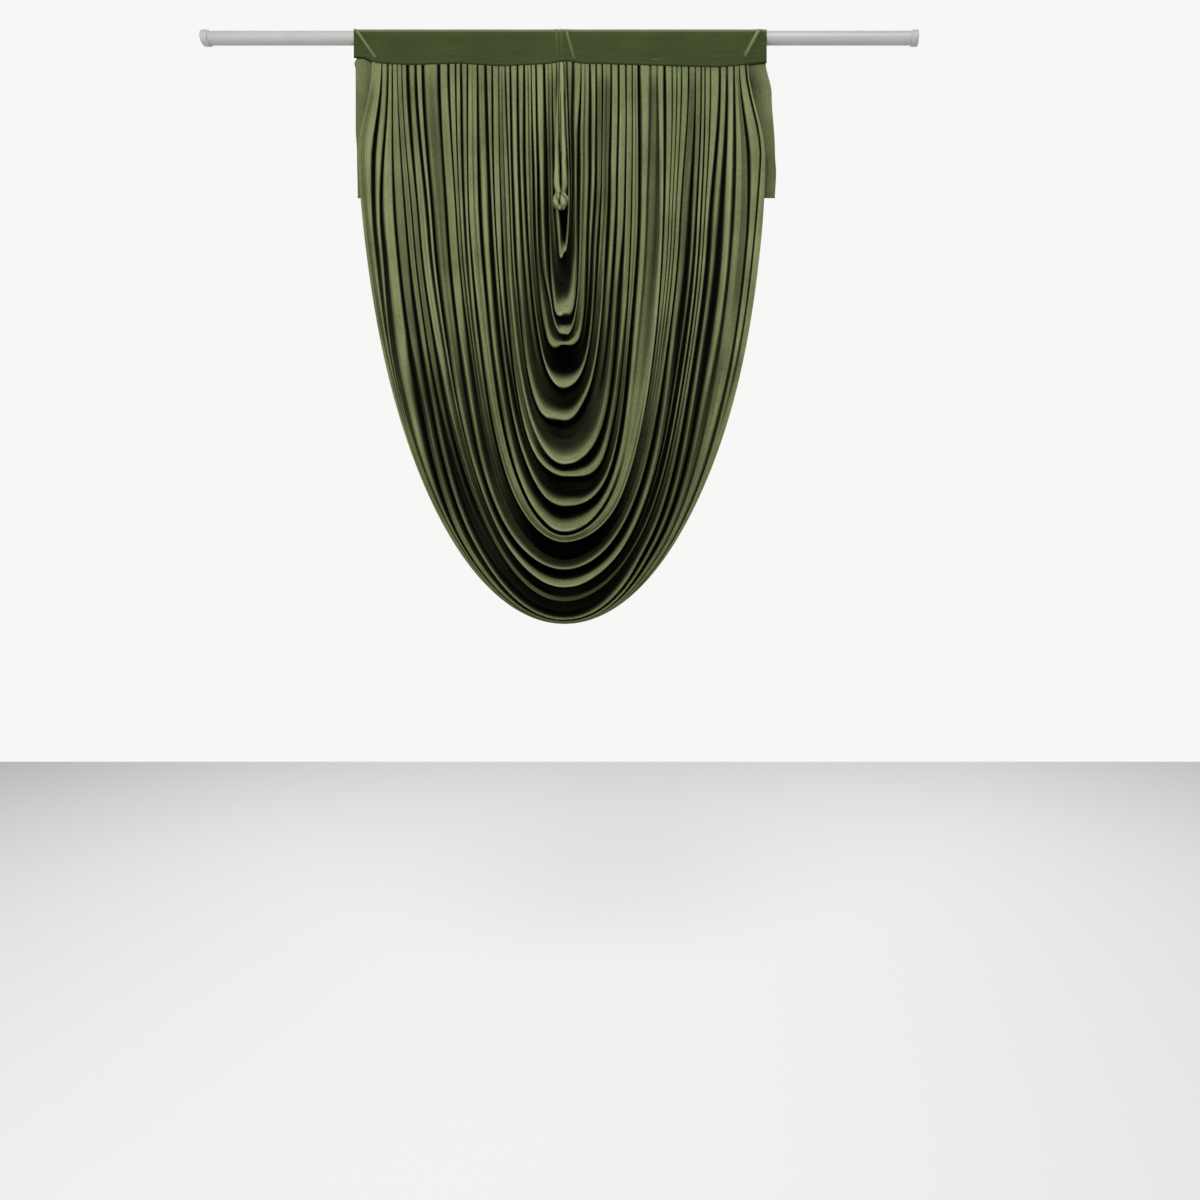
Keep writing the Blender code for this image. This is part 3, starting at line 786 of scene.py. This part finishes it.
# A plain pale floor and soft studio light, with the eye level with the lower part of the swag.
FLOOR_Z = -2.81
floor_bm = bmesh.new()
bmesh.ops.create_grid(floor_bm, x_segments=1, y_segments=1, size=4.0)
bmesh.ops.scale(floor_bm, verts=floor_bm.verts, vec=(4.0, 1.0, 1.0))
bmesh.ops.translate(floor_bm, verts=floor_bm.verts, vec=(0.0, 0.0, FLOOR_Z))
floor_mesh = bpy.data.meshes.new("floor")
floor_bm.to_mesh(floor_mesh)
floor_bm.free()
floor = bpy.data.objects.new("floor", floor_mesh)
bpy.context.scene.collection.objects.link(floor)
floor_finish, floor_shader = new_material("matt_pale_floor", 0.9)
floor_shader.inputs["Base Color"].default_value = srgb("#F4F4F3")
floor_mesh.materials.append(floor_finish)

world = bpy.data.worlds.new("studio")
world.use_nodes = True
# The lamps do most of the lighting, so the pale surround gives only a little light of its own.
FILL_LIGHT = 0.28
surround = world.node_tree.nodes["Background"]
surround.inputs["Color"].default_value = srgb("#FFFFFF")
surround.inputs["Strength"].default_value = FILL_LIGHT
seen = world.node_tree.nodes.new("ShaderNodeBackground")
seen.inputs["Color"].default_value = srgb("#F7F7F6")
ray = world.node_tree.nodes.new("ShaderNodeLightPath")
either = world.node_tree.nodes.new("ShaderNodeMixShader")
world.node_tree.links.new(ray.outputs["Is Camera Ray"], either.inputs["Fac"])
world.node_tree.links.new(surround.outputs["Background"], either.inputs[1])
world.node_tree.links.new(seen.outputs["Background"], either.inputs[2])
world.node_tree.links.new(either.outputs["Shader"], world.node_tree.nodes["World Output"].inputs["Surface"])
bpy.context.scene.world = world

# (name, place, power in watts, width, height)
SOFT_BOXES = (
    ("front_high", (0.2, -3.4, 1.6), 120.0, 2.4, 1.6),
    ("front_left", (-2.8, -2.6, -0.4), 26.0, 1.4, 2.2),
    ("floor_light", (0.0, 2.4, 1.8), 150.0, 7.0, 2.4),
)
for name, place, power, width, height in SOFT_BOXES:
    lamp = bpy.data.lights.new(name, "AREA")
    lamp.shape = "RECTANGLE"
    lamp.size, lamp.size_y, lamp.energy = width, height, power
    soft_box = bpy.data.objects.new(name, lamp)
    soft_box.location = place
    aim = Vector((0.0, 2.0, FLOOR_Z)) if name == "floor_light" else Vector((0.0, 0.0, -0.8))
    towards = aim - Vector(place)
    soft_box.rotation_euler = towards.to_track_quat("-Z", "Y").to_euler()
    bpy.context.scene.collection.objects.link(soft_box)

camera = bpy.data.objects.new("camera", bpy.data.cameras.new("camera"))
camera.data.sensor_width = 36.0
camera.data.lens = 27.39
camera.data.shift_x = -0.1054
camera.data.shift_y = -0.0556
camera.location = EYE
camera.rotation_euler = (math.pi / 2, 0.0, 0.0)
bpy.context.scene.collection.objects.link(camera)
bpy.context.scene.camera = camera
bpy.context.scene.view_settings.view_transform = "Standard"
